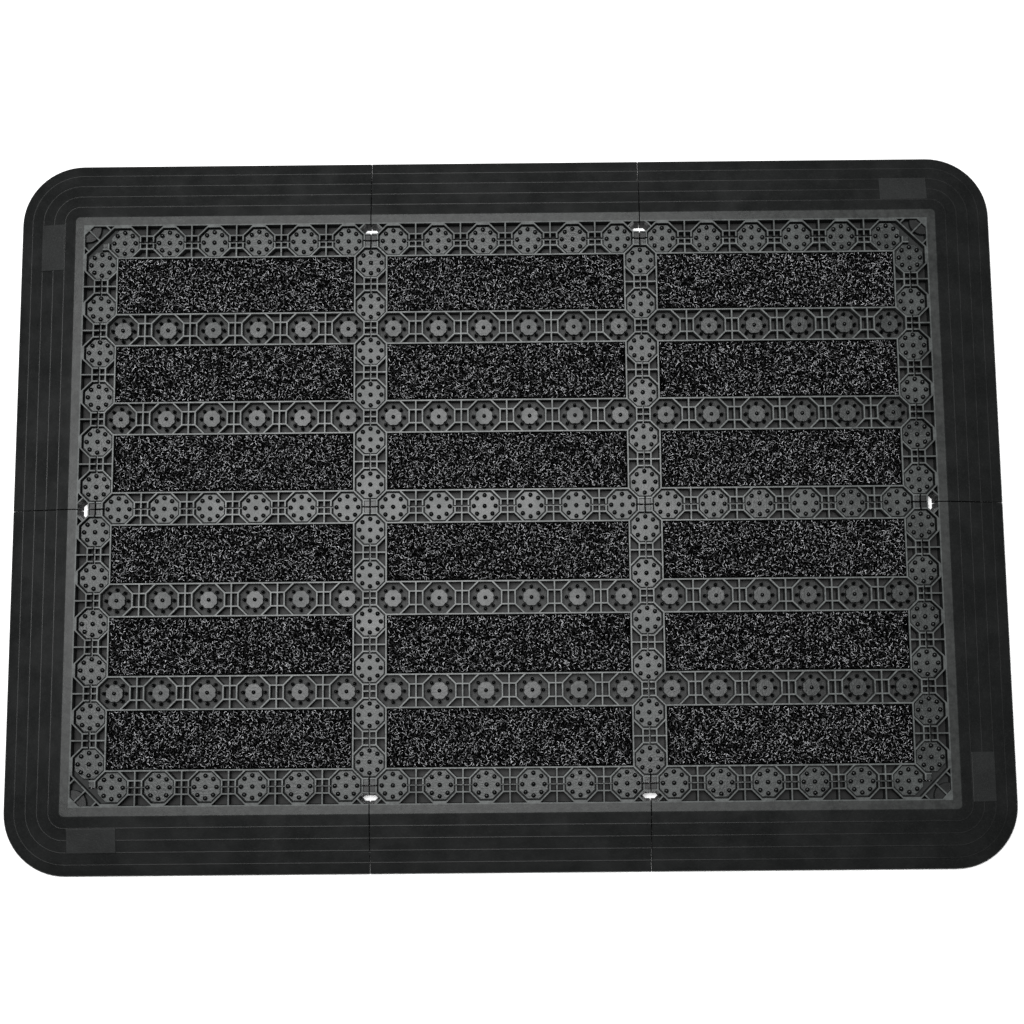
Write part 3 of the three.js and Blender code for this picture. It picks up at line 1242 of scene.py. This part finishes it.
    def add_label_plate(self, solid: BMesh) -> None:
        """Adds the blank label plate, which lies on the second and third bands.

        Args:
            solid: The corner ramp.
        """
        plate = bmesh.new()
        inner, outer = self.border + self.band, self.border + 3 * self.band
        profile = {round(out, 3): z for out, z in self.profile()}
        level = [profile[round(inner - self.arris, 3)] + self.label_raise / 4,
                 profile[round(outer - self.arris, 3)] + 2 * self.label_raise]
        bmesh.ops.create_cube(plate, size=1.0)
        for corner in plate.verts:
            along = self.label_to if corner.co.x > 0 else self.label_from
            at, top = (inner, level[0]) if corner.co.y > 0 else (outer, level[1])
            corner.co = (along, -at, top if corner.co.z > 0 else self.label_foot)
        rims = [e for e in plate.edges if all(v.co.z > 2 * self.label_foot for v in e.verts)]
        bmesh.ops.bevel(plate, geom=rims, offset=self.label_bevel, affect="EDGES", segments=2, profile=0.5,
                        material=-1)
        solid.from_mesh(closed_mesh("label_plate", plate, 1))

    def place_piece(self, node: str, solid: BMesh, place: Matrix) -> None:
        """Puts a ramp on its node.

        Args:
            node: The node's name.
            solid: The ramp's shape.
            place: Where it goes, in millimetres.
        """
        piece = finished_piece(f"{node}_rubber", solid, place, [Finish.RAMP, Finish.LABEL], self.smooth_angle)
        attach(piece, "mat_base")
        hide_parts(node)
        LOG.info("%s: %d faces", piece.name, len(piece.data.polygons))

    def build(self) -> None:
        """Builds the four corner ramps and the two straight ones."""
        low, high = (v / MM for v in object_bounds())
        x, y = high.x - self.edge, high.y - self.edge
        corner = self.corner()
        floor, near = self.pattern.socket_floor, -self.hole.from_seam
        for along in (self.pattern.pitch / 2, self.pattern.tile - self.pattern.pitch / 2):
            self.hole.sink(corner, along, near, floor)
            self.hole.sink(corner, near, along, floor)
        corners = {"front_left": (-x, -y), "front_right": (x, -y), "back_right": (x, y), "back_left": (-x, y)}
        for turns, (name, (at_x, at_y)) in enumerate(corners.items()):
            place = Matrix.Translation((at_x, at_y, 0)) @ Matrix.Rotation(turns * math.pi / 2, 4, "Z")
            self.place_piece(f"corner_ramp_{name}", corner, place)
        corner.free()
        straight = self.straight()
        for along in (self.pattern.places()[0], self.pattern.places()[-1]):
            self.hole.sink(straight, along, near, floor)
        for node, at_y, turns in (("straight_ramp_front", -y, 0), ("straight_ramp_back", y, 2)):
            place = Matrix.Translation((0, at_y, 0)) @ Matrix.Rotation(turns * math.pi / 2, 4, "Z")
            self.place_piece(node, straight, place)
        straight.free()


# ---- Connector strips ------------------------------------------------------


@dataclass
class ConnectorStrip:
    """Six studded octagonal pads in a row, joined by thin webs, with pegs under the end pads."""

    pattern: Pattern = PATTERN
    stud: Stud = field(default_factory=Stud)
    ring_radius: float = 9.9
    clearance: float = 1.15
    low: float = 8.0
    high: float = 11.0
    arris: float = 0.35
    web_inset: float = 0.5
    peg: float = 5.0
    peg_low: float = 4.0
    peg_offset: float = 8.0
    peg_root: float = 1.0
    web_gap: float = 0.3
    web_root: float = 2.0

    def solid(self) -> BMesh:
        """Builds the strip along X round the origin.

        Returns:
            Closed shapes in millimetres.
        """
        p = self.pattern
        strip = bmesh.new()
        radius = (p.apothem - p.rib / 2 - self.clearance) / math.cos(math.pi / 8)
        for x in p.places():
            place = Matrix.Translation((x, 0, self.low)) @ Matrix.Rotation(math.pi / 8, 4, "Z")
            prism(strip, capped_circle(strip, 8, radius, place), self.high - self.low, self.arris)
        bmesh.ops.recalc_face_normals(strip, faces=strip.faces)
        web, start = p.seam / 2 - self.web_gap, p.apothem - self.web_root
        for x in p.places()[:-1]:
            slab(strip, (x + start, x + p.pitch - start), (-web, web),
                 (self.low + self.web_inset, self.high - self.web_inset))
        for x in (p.places()[0], p.places()[-1]):
            for y in (-self.peg_offset, self.peg_offset):
                slab(strip, (x - self.peg / 2, x + self.peg / 2), (y - self.peg / 2, y + self.peg / 2),
                     (self.peg_low, self.low + self.peg_root))
        pin = self.stud.mesh()
        for x in p.places():
            stamp(strip, pin, self.stud.places(x, 0, self.high, self.ring_radius))
        return strip

    def build(self, nodes: list[str]) -> None:
        """Builds every strip on its own body.

        Args:
            nodes: The strips' node names.
        """
        solid = self.solid()
        for node in nodes:
            low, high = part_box(node)
            middle, size = (low + high) / 2 / MM, high - low
            turn = Matrix.Rotation(0 if size.x > size.y else math.pi / 2, 4, "Z")
            piece = finished_piece(f"{node}_pads", solid, Matrix.Translation((middle.x, middle.y, 0)) @ turn,
                                   [Finish.PAD, Finish.STUD])
            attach(piece, node)
            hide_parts(node)
            LOG.info("%s: %d faces", piece.name, len(piece.data.polygons))
        solid.free()


# ---- Carpet inserts --------------------------------------------------------


@dataclass
class CarpetInsert:
    """A strip of curl-pile carpet: a thin backing, a lumpy bed of dark fibre, and loose grey curls."""

    backing_thickness: float = 2.5
    bed_spacing: float = 2.0
    bed_below_top: float = 2.6
    bed_swing: float = 0.9
    bed_shift: float = 0.5
    bed_depth: float = 3.0
    curl_every: float = 3.0  # square millimetres of carpet to a curl
    curl_radius: float = 0.225
    curl_kinds: int = 9
    curl_steps: int = 3
    curl_inset: float = 1.6
    curl_tilt: float = 0.7
    curl_bends: tuple[float, float] = (0.15, 0.8)
    curl_twist: float = 0.4
    curl_strides: tuple[float, float] = (0.7, 1.15)
    curl_depths: tuple[float, float] = (0.1, 1.9)
    pale_shades: tuple[float, float] = (0.3, 1.0)
    pale_tone: float = 1.4
    dark_shades: tuple[float, float] = (0.0, 0.08)
    curl_sizes: tuple[float, float] = (0.75, 1.2)
    variants: int = 3
    pale_share: float = 0.48

    def curl(self, chance: random.Random) -> BMesh:
        """Builds one curled fibre as a three-sided tube, with the face of each step left inside it.

        Args:
            chance: The source of its variation.

        Returns:
            The shape round the origin.
        """
        fibre = bmesh.new()
        face = capped_circle(fibre, 3, self.curl_radius, Matrix.Identity(4))
        turn = Euler((chance.uniform(*self.curl_bends), chance.uniform(-self.curl_twist, self.curl_twist),
                      0)).to_matrix()
        stride = Vector((0, 0, chance.uniform(*self.curl_strides)))
        heading, here = Matrix.Identity(3), Vector((0, 0, 0))
        for _ in range(self.curl_steps):
            face = made_of(BMFace, bmesh.ops.extrude_face_region(fibre, geom=[face]))[0]
            ahead = heading @ turn
            there = here + ahead @ stride
            swing = ahead @ heading.transposed()
            for corner in face.verts:
                corner.co = there + swing @ (corner.co - here)
            heading, here = ahead, there
        middle = sum((v.co for v in fibre.verts), Vector()) / len(fibre.verts)
        bmesh.ops.translate(fibre, verts=fibre.verts, vec=-middle)
        bmesh.ops.recalc_face_normals(fibre, faces=fibre.faces)
        return fibre

    def bed(self, width: float, length: float, top: float, seed: int) -> tuple[np.ndarray, np.ndarray]:
        """Builds the lumpy bed of dark fibre under the curls.

        Args:
            width: Along Y.
            length: Along X.
            top: Height of the pile.
            seed: Seed of its lumps.

        Returns:
            Points and triangles.
        """
        bed = bmesh.new()
        columns, rows = round(length / self.bed_spacing), round(width / self.bed_spacing)
        bmesh.ops.create_grid(bed, x_segments=columns, y_segments=rows, size=0.5,
                              matrix=Matrix.Diagonal((length, width, 1, 1)))
        chance = random.Random(seed)
        level = top - self.bed_below_top
        for corner in bed.verts:
            corner.co.z = level + chance.uniform(-self.bed_swing, self.bed_swing)
            if not corner.is_boundary:
                corner.co.x += chance.uniform(-self.bed_shift, self.bed_shift)
                corner.co.y += chance.uniform(-self.bed_shift, self.bed_shift)
        rim = [e for e in bed.edges if e.is_boundary]
        for corner in made_of(BMVert, bmesh.ops.extrude_edge_only(bed, edges=rim)):
            corner.co.z = level - self.bed_depth
        bmesh.ops.holes_fill(bed, edges=[e for e in bed.edges if e.is_boundary], sides=0)
        bmesh.ops.recalc_face_normals(bed, faces=bed.faces)
        return as_arrays(bed)

    def pile(self, width: float, length: float, top: float, seed: int,
             kinds: list[tuple[np.ndarray, np.ndarray]]) -> tuple[np.ndarray, np.ndarray, np.ndarray]:
        """Scatters curls over the bed.

        Args:
            width: Along Y.
            length: Along X.
            top: Height that no curl passes.
            seed: Seed of the scatter.
            kinds: The fibres.

        Returns:
            Points, triangles, and each point's shade.
        """
        chance = random.Random(seed)
        points, triangles = self.bed(width, length, top, seed)
        all_points, all_triangles = [points], [triangles]
        shades = [np.zeros(len(points))]
        count = len(points)
        across, along = (int(side / math.sqrt(self.curl_every)) for side in (width, length))
        flat, tilt = Matrix.Rotation(math.pi / 2, 3, "Y"), self.curl_tilt
        for i in range(along):
            for j in range(across):
                x = ((i + chance.random()) / along - 0.5) * (length - self.curl_inset)
                y = ((j + chance.random()) / across - 0.5) * (width - self.curl_inset)
                shape, faces = kinds[chance.randrange(len(kinds))]
                turn = Euler((chance.uniform(-tilt, tilt), chance.uniform(-tilt, tilt),
                              chance.uniform(0, 2 * math.pi))).to_matrix() @ flat
                placed = shape @ np.array(turn.transposed()) * chance.uniform(*self.curl_sizes)
                pale = chance.random() < self.pale_share
                shade = (chance.uniform(*self.pale_shades) ** self.pale_tone if pale
                         else chance.uniform(*self.dark_shades))
                lift = top - chance.uniform(*self.curl_depths) - placed[:, 2].max()
                all_points.append(placed + np.array((x, y, lift)))
                all_triangles.append(faces + count)
                shades.append(np.full(len(placed), shade))
                count += len(placed)
        return np.concatenate(all_points), np.concatenate(all_triangles), np.concatenate(shades)

    @staticmethod
    def pile_mesh(points: np.ndarray, triangles: np.ndarray, shades: np.ndarray) -> Mesh:
        """Makes a mesh of the pile.

        Args:
            points: Its points.
            triangles: The points' numbers, three to a triangle.
            shades: Each point's shade.

        Returns:
            The mesh, in millimetres round the origin.
        """
        mesh = bpy.data.meshes.new("pile")
        mesh.vertices.add(len(points))
        mesh.vertices.foreach_set("co", points.astype(np.float32).ravel())
        mesh.loops.add(triangles.size)
        mesh.loops.foreach_set("vertex_index", triangles.astype(np.int32).ravel())
        mesh.polygons.add(len(triangles))
        mesh.polygons.foreach_set("loop_start", np.arange(0, triangles.size, 3, dtype=np.int32))
        shade = mesh.attributes.new("shade", "FLOAT", "POINT")
        shade.data.foreach_set("value", shades.astype(np.float32))
        mesh.update(calc_edges=True)
        mesh.validate()
        return mesh

    def backing(self, node: str, low: Vector, high: Vector) -> Object:
        """Builds the backing of one insert.

        Args:
            node: The insert's node.
            low: Its lowest corner, in millimetres.
            high: Its highest corner.

        Returns:
            The object.
        """
        sheet = bmesh.new()
        size = high - low
        middle = Vector(((low.x + high.x) / 2, (low.y + high.y) / 2, low.z + self.backing_thickness / 2))
        place = Matrix.Translation(middle) @ Matrix.Diagonal((size.x, size.y, self.backing_thickness, 1))
        bmesh.ops.create_cube(sheet, size=1.0, matrix=place)
        bmesh.ops.bevel(sheet, geom=sheet.edges[:], offset=0.5, affect="EDGES", segments=2, profile=0.5,
                        material=-1)
        bmesh.ops.recalc_face_normals(sheet, faces=sheet.faces)
        piece = finished_piece(f"{node}_backing", sheet, Matrix.Identity(4), [Finish.BACKING])
        sheet.free()
        return piece

    def build(self, nodes: list[str]) -> None:
        """Builds every insert on its own body.

        Args:
            nodes: The inserts' node names.
        """
        low, high = (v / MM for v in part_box(nodes[0]))
        chance = random.Random(SEED)
        kinds = [as_arrays(self.curl(chance)) for _ in range(self.curl_kinds)]
        width, length = high.y - low.y, high.x - low.x
        piles = [self.pile_mesh(*self.pile(width, length, high.z, SEED + k, kinds))
                 for k in range(self.variants)]
        chance = random.Random(SEED)
        for i, node in enumerate(nodes):
            low, high = (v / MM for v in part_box(node))
            mesh = piles[i % self.variants].copy()
            mesh.name = f"{node}_pile"
            turn = Matrix.Rotation(math.pi * chance.randrange(2), 4, "Z")
            middle = (low + high) / 2
            mesh.transform(Matrix.Scale(MM, 4) @ Matrix.Translation((middle.x, middle.y, 0)) @ turn)
            mesh.materials.append(Finish.PILE.material())
            pile = into_scene(mesh.name, mesh)
            backing = self.backing(node, low, high)
            for piece in (pile, backing):
                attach(piece, node)
                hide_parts(node)
            LOG.info("%s: %d faces", pile.name, len(mesh.polygons))
        for mesh in piles:
            bpy.data.meshes.remove(mesh)


# ---- Studio ----------------------------------------------------------------


@dataclass
class Studio:
    """White floor, soft overhead light and the camera, in metres."""

    camera_at: tuple[float, float, float] = (0.0071, -0.2049, 1.4586)
    camera_turn: tuple[float, float, float] = (0.1367, 0.0034, -0.0089)
    lens: float = 56.47
    floor_size: float = 12.0
    floor_below: float = 0.0002
    light_at: tuple[float, float, float] = (-0.25, 0.32, 2.2)
    light_size: tuple[float, float] = (1.5, 1.15)
    light_power: float = 82.0
    surround: float = 0.12

    def camera(self) -> None:
        """Puts the camera over the mat, a little in front of its middle."""
        data = bpy.data.cameras.new("camera")
        data.lens = self.lens
        data.clip_start, data.clip_end = 0.05, 30.0
        camera = into_scene("camera", data)
        camera.location = self.camera_at
        camera.rotation_euler = self.camera_turn
        bpy.context.scene.camera = camera

    def floor(self) -> None:
        """Lays the white floor just under the mat."""
        paper = bmesh.new()
        bmesh.ops.create_grid(paper, x_segments=2, y_segments=2, size=self.floor_size / 2 / MM)
        piece = finished_piece("studio_floor", paper, Matrix.Translation((0, 0, -self.floor_below / MM)),
                               [Finish.FLOOR])
        paper.free()
        piece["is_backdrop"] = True

    def light(self) -> None:
        """Hangs one large soft light over the mat, in a pale surround."""
        data = bpy.data.lights.new("overhead_softbox", "AREA")
        data.shape = "RECTANGLE"
        data.size, data.size_y = self.light_size
        data.energy = self.light_power
        into_scene("overhead_softbox", data).location = self.light_at
        world = bpy.data.worlds.new("studio_surround")
        world.use_nodes = True
        world.node_tree.nodes.clear()
        shade = add_node(world.node_tree, "Background",
                         {"Color": (1.0, 1.0, 1.0, 1.0), "Strength": self.surround})
        add_node(world.node_tree, "OutputWorld", {"Surface": shade})
        bpy.context.scene.world = world

    def build(self) -> None:
        """Sets up camera, floor and light."""
        self.camera()
        self.floor()
        self.light()
        bpy.context.scene.view_settings.view_transform = "Standard"


def main() -> None:
    """Builds the mat piece by piece."""
    logging.basicConfig(level=logging.INFO, format="%(message)s")
    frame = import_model()
    names = sorted(frame["nodes"])
    Studio().build()
    TileFrame().build([n for n in names if n.startswith("tile_frame")])
    EdgeRamp().build()
    ConnectorStrip().build([n for n in names if n.startswith("connector_strip")])
    CarpetInsert().build([n for n in names if n.startswith("carpet_insert")])


if __name__ == "__main__":
    main()
